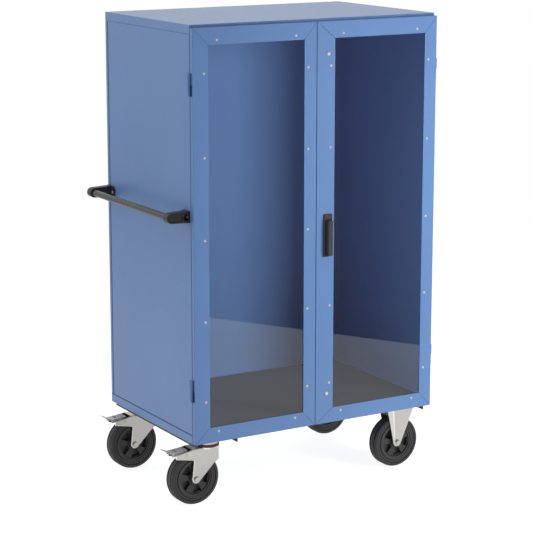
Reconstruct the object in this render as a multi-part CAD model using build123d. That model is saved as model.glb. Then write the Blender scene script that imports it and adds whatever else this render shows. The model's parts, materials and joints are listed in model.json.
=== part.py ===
from build123d import *
import os
from math import atan2, cos, degrees, hypot, radians, sin, sqrt

# A sheet steel cabinet on castors with two windowed doors, a rod lock and a push bar on its left side.
# Millimetres. While a piece is made, x = 0 is the cabinet's middle, y = 0 is halfway from its front
# edge to its back, and z = 0 is the floor. The doors face -y and the push bar is at -x.

# Cabinet body, folded from sheet
body_width = 1050
body_depth = 670
body_height = 1530
sheet = 1.5
inner_bend = 1
lid_height = 33
lid_return = 26
tray_height = 33
side_panel_depth = 25
back_panel_depth = 20
back_return = 18
floor_board_thickness = 5
floor_board_gap = 2
floor_board_rod_gap = 6

# Beams under the cabinet that carry the castors
beam_drop = 20
beam_width = 170
beam_side_inset = 20
beam_sheet = 3
beam_inner_bend = 1

# Doors: folded frames with mitred corners, and a clear pane behind each
door_gap = 3
door_depth = 16
door_edge_inset = 1
door_top_inset = 10
doors_gap = 2
doors_gap_x = -8
left_hinge_stile = 63
left_meeting_stile = 52
right_meeting_stile = 77
right_hinge_stile = 54
top_rail = 62
bottom_rail = 58
door_lip = 20
door_inner_bend = 0.5
mitre_gap = 1
pane_thickness = 4
pane_rivet_margin = 5

# Rivets that hold the panes
rivet_radius = 2.4
rivet_head_radius = 4.6
rivet_head_height = 2
rivet_tail_radius = 4
rivet_tail_height = 3
rivet_edge = 16.5
rivet_pitch = 300
rivet_end_inset = 100
rail_rivet_inset = 36
rivet_clearance = 0.1

# Lift-off hinges
hinge_height = 80
hinge_bottom_inset = 162
hinge_top_inset = 170
knuckle_radius = 8
lower_knuckle_radius = 6
knuckle_gap = 0.6
hinge_axis_out = 4
hinge_leaf_width = 27
hinge_leaf_gap = 0.2
hinge_pin_radius = 4
hinge_pin_clearance = 0.06
hinge_notch_clearance = 1
hinge_slot_depth = 6

# Catch that holds the left door
catch_width = 16
catch_height = 18
catch_depth = 14
catch_edge_inset = 3
catch_gap = 0.3

# Rod lock on the right door
lock_base_width = 35
lock_base_height = 161
lock_base_bottom = 647
lock_base_thickness = 8
lock_base_round = 3
lock_pivot_drop = 34
lock_seat_gap = 3
lock_seat_depth = 4
handle_width = 20
handle_length = 134
handle_height = 18
handle_round = 4
handle_gap = 0.6
handle_hub_reach = 12
handle_socket = 9
spindle_radius = 5
spindle_clearance = 0.06
spindle_hole_clearance = 0.5
rod_travel = 20
rod_radius = 4
rod_setback = 10
rod_end_gap = 3
rod_hole_clearance = 1
cam_rim = 3
cam_thickness = 3
cam_pin_radius = 3
cam_pin_angle = 45
cam_gap = 1
yoke_thickness = 4
yoke_wall = 4
yoke_slot_clearance = 0.8
yoke_bridge_height = 12
guide_width = 12
guide_height = 22
guide_wall = 4
guide_clearance = 0.3
guide_pane_gap = 1.5
guide_bottom_inset = 117
guide_top_inset = 128
guide_bolt_radius = 3.5
guide_bolt_head_radius = 7
guide_bolt_head_height = 4
guide_bolt_depth = 18
guide_bolt_clearance = 0.1

# Push bar on the left side
push_bar_height = 846
push_bar_standoff = 74
push_bar_radius = 12.5
push_bar_wall = 2
bracket_end_wall = 6
bracket_foot_height = 43
bracket_thickness = 32
bracket_end_inset = 4
bracket_foot_length = 60
bracket_foot_thickness = 7
bracket_foot_round = 18
bracket_round = 3
bracket_socket = 22
bracket_collar_wall = 3.5
bracket_collar_length = 5
bracket_dish_rim = 5
bracket_dish_depth = 2.5
bracket_dish_gap = 4
bracket_dish_radius = 13
bracket_pocket_length = 18
bracket_pocket_height = 24
bracket_pocket_clearance = 0.5
socket_clearance = 0.1
screw_radius = 2.9
screw_head_radius = 5.5
screw_head_height = 3
screw_length = 16
screw_end_inset = 9
screw_clearance = 0.1

# Wheels
wheel_radius = 100
tyre_thickness = 32
tyre_width = 50
tyre_round = 9
tyre_groove_depth = 4
tyre_groove_width = 5
tyre_groove_spacing = 24
tyre_ring_margin = 14
tyre_ring_depth = 2
tyre_bead = 7
rim_side_inset = 4
rim_clearance = 0.05
rim_flange = 7
rim_face_recess = 4
rim_web = 5
rim_pocket_count = 5
rim_pocket_margin = 2
rim_pocket_hub_gap = 6
rim_pocket_angle = 40
rim_pocket_turn = -8
rim_pocket_round = 3
hub_radius = 21
hub_side_gap = 0.8
bush_radius = 10
bush_side_gap = 0.4
axle_radius = 6
axle_clearance = 0.06
axle_hole_clearance = 0.1
axle_head_flats = 18
axle_head_height = 7

# Castors: swivelling on the left, fixed on the right
castor_end_margin = 6.5
tyre_side_gap = 4
fork_sheet = 4
fork_end_radius = 17
fork_edge_round = 3
plate_thickness = 4
plate_margin = 24
plate_corner_radius = 10
castor_bolt_radius = 5
castor_bolt_clearance = 0.25
castor_bolt_spacing = 80
castor_bolt_leg_gap = 11.5
castor_bolt_flats = 16
castor_bolt_head_height = 6
castor_nut_height = 8
fixed_plate_offset = 15

# Swivel head
castor_trail = 62
race_height = 24
race_radius = 42
race_top_radius = 50
seal_radius = 46
seal_wall = 9
seal_height = 6.6
ball_race_gap = 7
ball_race_wall = 14
swivel_gap = 0.4
crown_radius = 46
crown_sheet = 5
crown_clearance = 12
kingpin_radius = 7
kingpin_clearance = 0.08
kingpin_collar_radius = 12
kingpin_collar_height = 9

# Swivelling fork: front from the kingpin, the rest back from the axle, and drops from the crown
leg_front_top = 30
leg_knee_reach = 22
leg_knee_drop = 57
leg_knee_round = 45
leg_rear_reach = 4
leg_rear_drop = 45
leg_corner_round = 6
tail_root_reach = 16
tail_reach = 85
tail_bottom_drop = 30
tail_top_drop = 13
tail_corner_round = 5
fork_front_root = 15
fork_front_round = 12
fork_front_drop = 44
fork_front_root_drop = 63

# Brake pedals, measured back from the axle and down from the crown
pedal_root_reach = 33
pedal_end_reach = 96
pedal_end_drop = 6
pedal_tip_reach = 122
pedal_tip_rise = 6
pedal_side_gap = 6
pedal_sheet = 3
pedal_skirt = 14
pedal_pivot_reach = 42
pedal_pivot_drop = 16
pedal_pin_radius = 4
pedal_pin_clearance = 0.08
pedal_ear_radius = 7
pedal_slot_count = 2
pedal_slot_length = 14
pedal_slot_gap = 8
pedal_slot_side = 9
pedal_press_angle = 10
shoe_reach = 42
shoe_length = 18
shoe_side_inset = 5
shoe_touch_gap = 0.5

# Levels and limits that follow from these sizes
bend_radius = inner_bend + sheet
beam_bend_radius = beam_inner_bend + beam_sheet
door_bend_radius = door_inner_bend + sheet
crown_bottom = 2 * wheel_radius + crown_clearance
crown_top = crown_bottom + crown_sheet
seal_bottom = crown_top + swivel_gap
race_bottom = seal_bottom + seal_height
plate_bottom = race_bottom + race_height
castor_height = plate_bottom + plate_thickness
half_width = body_width / 2
front_y = -body_depth / 2
back_y = body_depth / 2
body_bottom = castor_height + beam_sheet
body_top = body_bottom + body_height
panel_bottom = body_bottom + tray_height
panel_top = body_top - lid_height
inner_back_y = back_y - back_panel_depth
door_back_y = front_y - door_gap
door_front_y = door_back_y - door_depth
door_bottom = body_bottom
door_top = body_top - door_top_inset
left_door_x = (-half_width + door_edge_inset, doors_gap_x - doors_gap / 2)
right_door_x = (doors_gap_x + doors_gap / 2, half_width - door_edge_inset)
left_window_x = (left_door_x[0] + left_hinge_stile, left_door_x[1] - left_meeting_stile)
right_window_x = (right_door_x[0] + right_meeting_stile, right_door_x[1] - right_hinge_stile)
window_z = (door_bottom + bottom_rail, door_top - top_rail)
pane_overlap = rivet_edge + pane_rivet_margin
hinge_axis_x = half_width + hinge_axis_out
hinge_axis_y = front_y - door_gap / 2
hinge_bottoms = (body_bottom + hinge_bottom_inset, body_top - hinge_top_inset - hinge_height)
hinge_notch = knuckle_radius + hinge_notch_clearance
hinge_leaf_thickness = (door_gap - hinge_leaf_gap) / 2
lock_x = right_window_x[0] - pane_overlap - guide_pane_gap - guide_width / 2
lock_base_z = (body_bottom + lock_base_bottom, body_bottom + lock_base_bottom + lock_base_height)
lock_z = lock_base_z[1] - lock_pivot_drop
lock_base_front_y = door_front_y - lock_base_thickness
handle_back_y = lock_base_front_y - handle_gap
handle_front_y = handle_back_y - handle_height
rod_y = front_y + rod_setback
cam_pin_orbit = rod_travel / (2 * sin(radians(cam_pin_angle)))
cam_radius = cam_pin_orbit + cam_pin_radius + cam_rim
yoke_y = (rod_y - yoke_thickness / 2, rod_y + yoke_thickness / 2)
cam_y = (yoke_y[0] - cam_gap - cam_thickness, yoke_y[0] - cam_gap)
guide_levels = (body_bottom + guide_bottom_inset, body_top - guide_top_inset)
push_bar_z = body_bottom + push_bar_height
push_bar_x = -half_width - push_bar_standoff
bracket_end_radius = push_bar_radius + bracket_end_wall
bracket_pocket_depth = screw_end_inset + screw_head_radius + bracket_pocket_clearance
bracket_ys = (front_y + bracket_end_inset, back_y - bracket_end_inset)
fork_gap = tyre_width + 2 * tyre_side_gap
fork_outer = fork_gap / 2 + fork_sheet
castor_bolt_reach = fork_outer + castor_bolt_leg_gap + castor_bolt_flats / 2
plate_reach_x = castor_bolt_spacing / 2 + plate_margin
plate_reach_y = castor_bolt_reach + plate_margin
beam_x = half_width - beam_side_inset - beam_width / 2
kingpin_x = -beam_x
fixed_castor_x = beam_x
fixed_plate_x = fixed_castor_x + fixed_plate_offset
swivel_wheel_x = kingpin_x - castor_trail
castor_end_inset = castor_end_margin + plate_reach_y
castor_ys = {"front": front_y + castor_end_inset, "rear": back_y - castor_end_inset}
rim_radius = wheel_radius - tyre_thickness
rim_width = tyre_width - 2 * rim_side_inset
seal_inner_radius = seal_radius - seal_wall
ball_race_radius = seal_inner_radius - ball_race_gap
pedal_width = fork_gap - 2 * pedal_side_gap
pedal_pivot_x = swivel_wheel_x - pedal_pivot_reach
pedal_pivot_z = crown_top - pedal_pivot_drop

# The origin on the floor is under the middle of the whole trolley
left_reach = push_bar_x - bracket_end_radius
right_reach = hinge_axis_x + knuckle_radius
origin_x = (left_reach + right_reach) / 2
origin_y = (handle_front_y + back_y) / 2


def block(x, y, z):
    """Box between two limits on each axis."""
    centre = Pos((x[0] + x[1]) / 2, (y[0] + y[1]) / 2, (z[0] + z[1]) / 2)
    return centre * Box(x[1] - x[0], y[1] - y[0], z[1] - z[0])


def drum_x(radius, x, y, z):
    """Cylinder along x, between two x limits."""
    return Pos((x[0] + x[1]) / 2, y, z) * Rot(0, 90, 0) * Cylinder(radius, x[1] - x[0])


def drum_y(radius, x, y, z):
    """Cylinder along y, between two y limits."""
    return Pos(x, (y[0] + y[1]) / 2, z) * Rot(90, 0, 0) * Cylinder(radius, y[1] - y[0])


def drum_z(radius, x, y, z):
    """Cylinder along z, between two z limits."""
    return Pos(x, y, (z[0] + z[1]) / 2) * Cylinder(radius, z[1] - z[0])


def plate_xz(outline, y):
    """Flat outline in x and z, thickened between two y limits."""
    return Pos(0, y[1], 0) * Rot(90, 0, 0) * extrude(outline, y[1] - y[0])


def hexagon(flats, height):
    """Hexagonal prism, its lower face at z = 0."""
    return extrude(RegularPolygon(flats / 2, 6, major_radius=False), height)


def mirrored(part):
    """The same part on the cabinet's other side."""
    return mirror(part, about=Plane.YZ)


def group(parts):
    """Like pieces that share a name."""
    return Compound([solid for part in parts for solid in part.solids()])


# Cabinet body


def rod_hole(z):
    """Hole that a lock rod enters."""
    return drum_z(rod_radius + rod_hole_clearance, lock_x, rod_y, z)


def lid():
    """Shallow pan, open side down, with a return all round that the panels meet."""
    outer = block((-half_width, half_width), (front_y, back_y), (panel_top, body_top))
    outer = fillet(outer.edges(), bend_radius)
    inner = block(
        (-half_width + sheet, half_width - sheet),
        (front_y + sheet, back_y - sheet),
        (panel_top + sheet, body_top - sheet),
    )
    inner = fillet(inner.edges(), inner_bend)
    mouth = block(
        (-half_width + lid_return, half_width - lid_return),
        (front_y + lid_return, back_y - lid_return),
        (panel_top - sheet, panel_top + 2 * sheet),
    )
    return outer - inner - mouth - rod_hole((panel_top - sheet, panel_top + 2 * sheet))


def upper_bends(box):
    """A box's upright edges and the edges round its top."""
    levels = box.edges().group_by(Axis.Z)
    return levels[1] + levels[2]


def bottom_tray():
    """Deck with a skirt all round, open underneath."""
    outer = block((-half_width, half_width), (front_y, back_y), (body_bottom, panel_bottom))
    outer = fillet(upper_bends(outer), bend_radius)
    inner = block(
        (-half_width + sheet, half_width - sheet),
        (front_y + sheet, back_y - sheet),
        (body_bottom - sheet, panel_bottom - sheet),
    )
    inner = fillet(upper_bends(inner), inner_bend)
    return outer - inner - rod_hole((panel_bottom - 2 * sheet, panel_bottom + sheet))


def side_panel():
    """Left side: a folded sheet with flanges on four edges, notched round the hinge knuckles."""
    outer = block(
        (-half_width, -half_width + side_panel_depth), (front_y, inner_back_y), (panel_bottom, panel_top)
    )
    outer = fillet(outer.edges().group_by(Axis.X)[0], bend_radius)
    inner = block(
        (-half_width + sheet, -half_width + side_panel_depth + sheet),
        (front_y + sheet, inner_back_y - sheet),
        (panel_bottom + sheet, panel_top - sheet),
    )
    inner = fillet(inner.edges().group_by(Axis.X)[0], inner_bend)
    panel = outer - inner
    for bottom in hinge_bottoms:
        panel -= block(
            (-hinge_axis_x - hinge_notch, -hinge_axis_x + hinge_notch),
            (hinge_axis_y - hinge_notch, hinge_axis_y + hinge_notch),
            (bottom - hinge_notch_clearance, bottom + hinge_height + hinge_notch_clearance),
        )
    return panel


def bracket_screw_ys(y, inward):
    """Where the two screws of a push bar bracket lie."""
    return (y + inward * screw_end_inset, y + inward * (bracket_foot_length - screw_end_inset))


def all_screw_ys():
    """Where the screws of both push bar brackets lie."""
    front, rear = bracket_ys
    return bracket_screw_ys(front, 1) + bracket_screw_ys(rear, -1)


def screw_drilled(panel):
    """The panel with the holes for the push bar's screws that fall in it."""
    through = (-half_width - sheet, -half_width + 2 * sheet)
    for y in all_screw_ys():
        panel -= drum_x(screw_radius + screw_clearance, through, y, push_bar_z)
    return panel


def rear_bends(box):
    """A box's edges along y and the edges round its rear face."""
    levels = box.edges().group_by(Axis.Y)
    return levels[1] + levels[2]


def back_panel():
    """Back sheet that wraps round both rear corners, with a return against each side panel."""
    outer = block((-half_width, half_width), (inner_back_y, back_y), (panel_bottom, panel_top))
    outer = fillet(rear_bends(outer), bend_radius)
    inner = block(
        (-half_width + sheet, half_width - sheet),
        (inner_back_y + sheet, back_y - sheet),
        (panel_bottom + sheet, panel_top - sheet),
    )
    inner = fillet(rear_bends(inner), inner_bend)
    mouth = block(
        (-half_width + back_return, half_width - back_return),
        (inner_back_y - sheet, inner_back_y + 2 * sheet),
        (panel_bottom + sheet, panel_top - sheet),
    )
    return screw_drilled(outer - inner - mouth)


def floor_board():
    """Board on the deck, clear of the panels and of the lock rod."""
    reach = half_width - side_panel_depth - floor_board_gap
    front = rod_y + rod_radius + floor_board_rod_gap
    return block(
        (-reach, reach),
        (front, inner_back_y - floor_board_gap),
        (panel_bottom, panel_bottom + floor_board_thickness),
    )


def castor_bolt_points(x, y):
    """Four bolt centres round a castor's middle."""
    sides = (-1, 1)
    return [(x + i * castor_bolt_spacing / 2, y + j * castor_bolt_reach) for i in sides for j in sides]


def beam_bends(box):
    """A box's two highest edges along y."""
    return box.edges().filter_by(Axis.Y).group_by(Axis.Z)[-1]


def castor_beam(x, plate_x):
    """Channel under the tray's skirt, open side down, with the castors bolted up inside it."""
    bottom = body_bottom - beam_drop
    outer = block((x - beam_width / 2, x + beam_width / 2), (front_y, back_y), (bottom, body_bottom))
    inner_reach = beam_width / 2 - beam_sheet
    inner = block(
        (x - inner_reach, x + inner_reach),
        (front_y - beam_sheet, back_y + beam_sheet),
        (bottom - beam_sheet, castor_height),
    )
    beam = fillet(beam_bends(outer), beam_bend_radius) - fillet(beam_bends(inner), beam_inner_bend)
    for y in castor_ys.values():
        for bolt_x, bolt_y in castor_bolt_points(plate_x, y):
            beam -= drum_z(
                castor_bolt_radius + castor_bolt_clearance,
                bolt_x,
                bolt_y,
                (castor_height - beam_sheet, castor_height + 2 * beam_sheet),
            )
    return beam


# Doors


def door_frame(door_x, window_x):
    """Folded frame round a window, cut through at its four mitres."""
    outer = block(door_x, (door_front_y, door_back_y), (door_bottom, door_top))
    outer = fillet(outer.edges().group_by(Axis.Y)[0], door_bend_radius)
    inner = block(
        (door_x[0] + sheet, door_x[1] - sheet),
        (door_front_y + sheet, door_back_y - sheet),
        (door_bottom + sheet, door_top - sheet),
    )
    inner = fillet(inner.edges().group_by(Axis.Y)[0], door_inner_bend)
    mouth = block(
        (door_x[0] + door_lip, door_x[1] - door_lip),
        (door_back_y - 2 * sheet, door_back_y + sheet),
        (door_bottom + door_lip, door_top - door_lip),
    )
    window = block(window_x, (door_front_y - sheet, door_front_y + 2 * sheet), window_z)
    frame = outer - inner - mouth - window
    for corner_x, inner_x in zip(door_x, window_x):
        for corner_z, inner_z in zip((door_bottom, door_top), window_z):
            run_x = inner_x - corner_x
            run_z = inner_z - corner_z
            saw = Box(2 * hypot(run_x, run_z), 2 * door_depth, mitre_gap)
            turn = Rot(0, -degrees(atan2(run_z, run_x)), 0)
            near = Pos(corner_x, (door_front_y + door_back_y) / 2, corner_z)
            frame -= near * turn * saw
    return frame


def frame_pieces(frame, window_x):
    """The four pieces of a mitred frame, by where they lie."""
    middle_x = (window_x[0] + window_x[1]) / 2
    middle_z = (window_z[0] + window_z[1]) / 2
    pieces = {}
    for solid in frame.solids():
        centre = solid.bounding_box().center()
        if solid.bounding_box().size.Z > window_z[1] - window_z[0]:
            pieces["left" if centre.X < middle_x else "right"] = solid
        else:
            pieces["bottom" if centre.Z < middle_z else "top"] = solid
    return pieces


def rivet_points(window_x, with_lock):
    """Rivet centres round a window, leaving out those under the lock."""
    run = window_z[1] - window_z[0] - 2 * rivet_end_inset
    spaces = max(1, round(run / rivet_pitch))
    step = run / spaces
    stile_x = (window_x[0] - rivet_edge, window_x[1] + rivet_edge)
    rail_z = (window_z[0] - rivet_edge, window_z[1] + rivet_edge)
    rail_x = (window_x[0] + rail_rivet_inset, window_x[1] - rail_rivet_inset)
    points = [(x, window_z[0] + rivet_end_inset + i * step) for x in stile_x for i in range(spaces + 1)]
    points += [(x, z) for x in rail_x for z in rail_z]
    if not with_lock:
        return points
    margin = rivet_head_radius + lock_base_round
    return [
        (x, z)
        for x, z in points
        if x != stile_x[0] or not lock_base_z[0] - margin < z < lock_base_z[1] + margin
    ]


def rivet(x, z):
    """Blind rivet through the frame and the pane, with a domed head in front and a bulb behind."""
    head_y = door_front_y
    tail_y = door_front_y + sheet + pane_thickness
    dome_radius = (rivet_head_radius**2 + rivet_head_height**2) / (2 * rivet_head_height)
    ball = Pos(x, head_y - rivet_head_height + dome_radius, z) * Sphere(dome_radius)
    dome = ball & drum_y(rivet_head_radius, x, (head_y - rivet_head_height, head_y), z)
    shank = drum_y(rivet_radius, x, (head_y, tail_y), z)
    bulb = drum_y(rivet_tail_radius, x, (tail_y, tail_y + rivet_tail_height), z)
    return dome + shank + bulb


def drilled(part, points):
    """The part with a rivet hole at each point."""
    for x, z in points:
        hole_y = (door_front_y - sheet, door_front_y + 2 * sheet + pane_thickness)
        part -= drum_y(rivet_radius + rivet_clearance, x, hole_y, z)
    return part


def pane(window_x):
    """Clear sheet behind a frame."""
    return block(
        (window_x[0] - pane_overlap, window_x[1] + pane_overlap),
        (door_front_y + sheet, door_front_y + sheet + pane_thickness),
        (window_z[0] - pane_overlap, window_z[1] + pane_overlap),
    )


def hinge_cut(frame, side):
    """The frame notched round its hinge knuckles, deeper beside the lower ones."""
    axis_x = side * hinge_axis_x
    notch_x = (axis_x - hinge_notch, axis_x + hinge_notch)
    notch_back = hinge_axis_y + hinge_notch
    for bottom in hinge_bottoms:
        notch_bottom = bottom - hinge_notch_clearance
        notch_top = bottom + hinge_height + hinge_notch_clearance
        slot_front = hinge_axis_y - hinge_notch - hinge_slot_depth
        frame -= block(notch_x, (hinge_axis_y - hinge_notch, notch_back), (notch_bottom, notch_top))
        frame -= block(notch_x, (slot_front, notch_back), (notch_bottom, bottom + hinge_height / 2))
    return frame


def lock_cut(frame):
    """The right frame with holes for the lock's spindle and the rod guides' bolts."""
    through = (door_front_y - sheet, door_front_y + 2 * sheet)
    frame -= drum_y(spindle_radius + spindle_hole_clearance, lock_x, through, lock_z)
    for level in guide_levels:
        frame -= drum_y(guide_bolt_radius + guide_bolt_clearance, lock_x, through, level)
    return frame


# Hinges, drawn on the left side with the axis just outside the cabinet's front corner


def hinge_leaf(bottom, on_door):
    """One leaf and its knuckle: the cabinet's knuckle is the lower one and the door's the upper one."""
    axis_x = -hinge_axis_x
    middle = bottom + hinge_height / 2
    if on_door:
        leaf_y = (door_back_y, door_back_y + hinge_leaf_thickness)
        knuckle_z = (middle + knuckle_gap / 2, bottom + hinge_height)
        radius = knuckle_radius
    else:
        leaf_y = (front_y - hinge_leaf_thickness, front_y)
        knuckle_z = (bottom, middle - knuckle_gap / 2)
        radius = lower_knuckle_radius
    height = (bottom, bottom + hinge_height)
    leaf = block((axis_x + hinge_notch, axis_x + hinge_leaf_width), leaf_y, height)
    neck = block((axis_x, axis_x + hinge_notch), leaf_y, knuckle_z)
    knuckle = drum_z(radius, axis_x, hinge_axis_y, knuckle_z)
    bore = drum_z(hinge_pin_radius + hinge_pin_clearance, axis_x, hinge_axis_y, height)
    return leaf + neck + knuckle - bore


def hinge_pin(bottom):
    """Pin that stands in the cabinet's knuckle and carries the door's."""
    return drum_z(hinge_pin_radius, -hinge_axis_x, hinge_axis_y, (bottom, bottom + hinge_height))


def door_leaves():
    """Both leaves on the left door."""
    return [hinge_leaf(bottom, True) for bottom in hinge_bottoms]


def both_sides(solids):
    """The solids and their mirror images."""
    return solids + [mirrored(solid) for solid in solids]


# Catch on the left door


def catch_limits():
    """The catch's width across the left door's free edge, and its height under the lid."""
    right = left_door_x[1] - catch_edge_inset
    return (right - catch_width, right), (panel_top - catch_height, panel_top)


def door_catch_magnet():
    """Magnet block under the lid's front return."""
    x, z = catch_limits()
    return block(x, (front_y + catch_gap, front_y + catch_gap + catch_depth), z)


def door_catch_plate():
    """Steel plate on the back of the left door, facing the magnet."""
    x, z = catch_limits()
    return block(x, (door_back_y, front_y - catch_gap), z)


# Rod lock on the right door


def handle_limits(margin):
    """The grip's width and height, grown by a margin."""
    bottom = lock_z + handle_hub_reach - handle_length
    reach = handle_width / 2 + margin
    return (lock_x - reach, lock_x + reach), (bottom - margin, lock_z + handle_hub_reach + margin)


def lock_base():
    """Plastic plate on the front of the right door, dished round the grip, in which the spindle turns."""
    plate = block(
        (lock_x - lock_base_width / 2, lock_x + lock_base_width / 2),
        (lock_base_front_y, door_front_y),
        lock_base_z,
    )
    plate = fillet(plate.edges().group_by(Axis.Y)[0] + plate.edges().filter_by(Axis.Y), lock_base_round)
    seat_x, seat_z = handle_limits(lock_seat_gap)
    seat_front = lock_base_front_y - lock_base_thickness
    seat = block(seat_x, (seat_front, lock_base_front_y + lock_seat_depth), seat_z)
    plate -= fillet(seat.edges().filter_by(Axis.Y), handle_round)
    bore_y = (lock_base_front_y - lock_base_thickness, door_front_y + lock_base_thickness)
    return plate - drum_y(spindle_radius + spindle_clearance, lock_x, bore_y, lock_z)


def lock_handle():
    """Grip that stands proud of the base and turns with the spindle."""
    bar_x, bar_z = handle_limits(0)
    bar = block(bar_x, (handle_front_y, handle_back_y), bar_z)
    bar = fillet(bar.edges().filter_by(Axis.Y), handle_round)
    bar = fillet(bar.edges().group_by(Axis.Y)[0], handle_round)
    socket_y = (handle_back_y - handle_socket, handle_back_y)
    return bar - drum_y(spindle_radius + spindle_clearance, lock_x, socket_y, lock_z)


def lock_cam():
    """Spindle with a round cam and two pins behind the door."""
    spindle = drum_y(spindle_radius, lock_x, (handle_back_y - handle_socket, cam_y[1]), lock_z)
    cam = drum_y(cam_radius, lock_x, cam_y, lock_z)
    reach = cam_pin_orbit * cos(radians(cam_pin_angle))
    pin_y = (cam_y[1], yoke_y[1] + cam_gap)
    pins = [
        drum_y(cam_pin_radius, lock_x + side * reach, pin_y, lock_z - side * reach) for side in (1, -1)
    ]
    return spindle + cam + pins


def lock_rod(up):
    """Round rod with a slotted yoke on one cam pin; up is 1 for the top rod and -1 for the bottom one."""
    reach = cam_pin_orbit * cos(radians(cam_pin_angle))
    pin_z = lock_z - up * reach
    slot_half = cam_pin_radius + yoke_slot_clearance
    inner = reach - slot_half - yoke_wall / 2
    outer = cam_pin_orbit + slot_half + yoke_wall
    near_end = pin_z - up * (slot_half + yoke_wall)
    bridge = lock_z + up * (cam_radius + yoke_wall)
    far_end = bridge + up * yoke_bridge_height
    arm_x = sorted((lock_x + up * inner, lock_x + up * outer))
    bridge_x = sorted((lock_x - up * rod_radius, lock_x + up * outer))
    plate = block(arm_x, yoke_y, sorted((near_end, far_end)))
    plate += block(bridge_x, yoke_y, sorted((bridge, far_end)))
    plate -= block(
        sorted((lock_x + up * (reach - slot_half), lock_x + up * (cam_pin_orbit + slot_half))),
        (yoke_y[0] - cam_gap, yoke_y[1] + cam_gap),
        (pin_z - slot_half, pin_z + slot_half),
    )
    tip = panel_top - rod_end_gap if up > 0 else panel_bottom + rod_end_gap
    return plate + drum_z(rod_radius, lock_x, rod_y, sorted((bridge, tip)))


def rod_guide(level):
    """Block on the back of the meeting stile that a rod slides through."""
    web_back = door_front_y + sheet
    body = block(
        (lock_x - guide_width / 2, lock_x + guide_width / 2),
        (web_back, rod_y + rod_radius + guide_wall),
        (level - guide_height / 2, level + guide_height / 2),
    )
    bore_z = (level - guide_height, level + guide_height)
    body -= drum_z(rod_radius + guide_clearance, lock_x, rod_y, bore_z)
    bolt_y = (door_front_y, door_front_y + guide_bolt_depth)
    return body - drum_y(guide_bolt_radius + guide_bolt_clearance, lock_x, bolt_y, level)


def rod_guide_bolt(level):
    """Bolt with a low domed head through the stile into its guide."""
    head_y = (door_front_y - guide_bolt_head_height, door_front_y)
    head = drum_y(guide_bolt_head_radius, lock_x, head_y, level)
    head = fillet(head.edges().group_by(Axis.Y)[0], guide_bolt_head_height / 2)
    shank = drum_y(guide_bolt_radius, lock_x, (door_front_y, door_front_y + guide_bolt_depth), level)
    return head + shank


# Push bar


def push_bar():
    """Round tube between the two brackets."""
    ends = (
        bracket_ys[0] + bracket_thickness - bracket_socket,
        bracket_ys[1] - bracket_thickness + bracket_socket,
    )
    tube = drum_y(push_bar_radius, push_bar_x, ends, push_bar_z)
    return tube - drum_y(push_bar_radius - push_bar_wall, push_bar_x, ends, push_bar_z)


def push_bar_bracket():
    """Front bracket: a rounded, dished arm with a socket for the bar and a foot on the side panel."""
    arm_y = (bracket_ys[0], bracket_ys[0] + bracket_thickness)
    foot_y = (bracket_ys[0], bracket_ys[0] + bracket_foot_length)
    foot_z = (push_bar_z - bracket_foot_height / 2, push_bar_z + bracket_foot_height / 2)
    root = Line((-half_width, foot_z[0]), (-half_width, foot_z[1]))
    end = Pos(push_bar_x, push_bar_z) * Circle(bracket_end_radius)
    arm = plate_xz(make_hull(root.edges() + end.edges()), arm_y)
    arm = fillet(arm.edges().group_by(Axis.Y)[0], bracket_round)
    foot_face = -half_width - bracket_foot_thickness
    foot = block((foot_face, -half_width), foot_y, foot_z)
    foot = fillet(foot.edges().filter_by(Axis.X).group_by(Axis.Y)[-1], bracket_foot_round)
    pocket = block(
        (foot_face - bracket_pocket_length, foot_face),
        (bracket_ys[0] - bracket_round, bracket_ys[0] + bracket_pocket_depth),
        (push_bar_z - bracket_pocket_height / 2, push_bar_z + bracket_pocket_height / 2),
    )
    pocket = fillet(pocket.edges().filter_by(Axis.Y), bracket_round)
    near_x = foot_face - bracket_pocket_length - bracket_dish_gap - bracket_dish_radius
    near_end = Pos(near_x, push_bar_z) * Circle(bracket_dish_radius)
    far_end = Pos(push_bar_x, push_bar_z) * Circle(bracket_end_radius - bracket_dish_rim)
    dish_y = (bracket_ys[0] - bracket_round, bracket_ys[0] + bracket_dish_depth)
    dish = plate_xz(make_hull(near_end.edges() + far_end.edges()), dish_y)
    collar_y = (arm_y[1], arm_y[1] + bracket_collar_length)
    collar = drum_y(push_bar_radius + bracket_collar_wall, push_bar_x, collar_y, push_bar_z)
    socket_y = (arm_y[1] - bracket_socket, arm_y[1] + bracket_socket)
    bracket = arm + foot + collar - pocket - dish
    bracket -= drum_y(push_bar_radius + socket_clearance, push_bar_x, socket_y, push_bar_z)
    hole_x = (foot_face - bracket_foot_thickness, -half_width + bracket_foot_thickness)
    for screw_y in bracket_screw_ys(bracket_ys[0], 1):
        bracket -= drum_x(screw_radius + screw_clearance, hole_x, screw_y, push_bar_z)
    return bracket


def push_bar_screw(y):
    """Pan head screw through a bracket's foot and the side panel."""
    seat = -half_width - bracket_foot_thickness
    head = drum_x(screw_head_radius, (seat - screw_head_height, seat), y, push_bar_z)
    head = fillet(head.edges().group_by(Axis.X)[0], screw_head_height / 2)
    return head + drum_x(screw_radius, (seat, seat + screw_length), y, push_bar_z)


# Castors


def castor_bolt(x, y):
    """Bolt up through a castor's plate and the beam, with its nut."""
    head_bottom = plate_bottom - castor_bolt_head_height
    nut_seat = castor_height + beam_sheet
    head = Pos(x, y, head_bottom) * hexagon(castor_bolt_flats, castor_bolt_head_height)
    nut = Pos(x, y, nut_seat) * hexagon(castor_bolt_flats, castor_nut_height)
    shank = drum_z(castor_bolt_radius, x, y, (plate_bottom, nut_seat))
    return head + shank + nut


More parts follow.
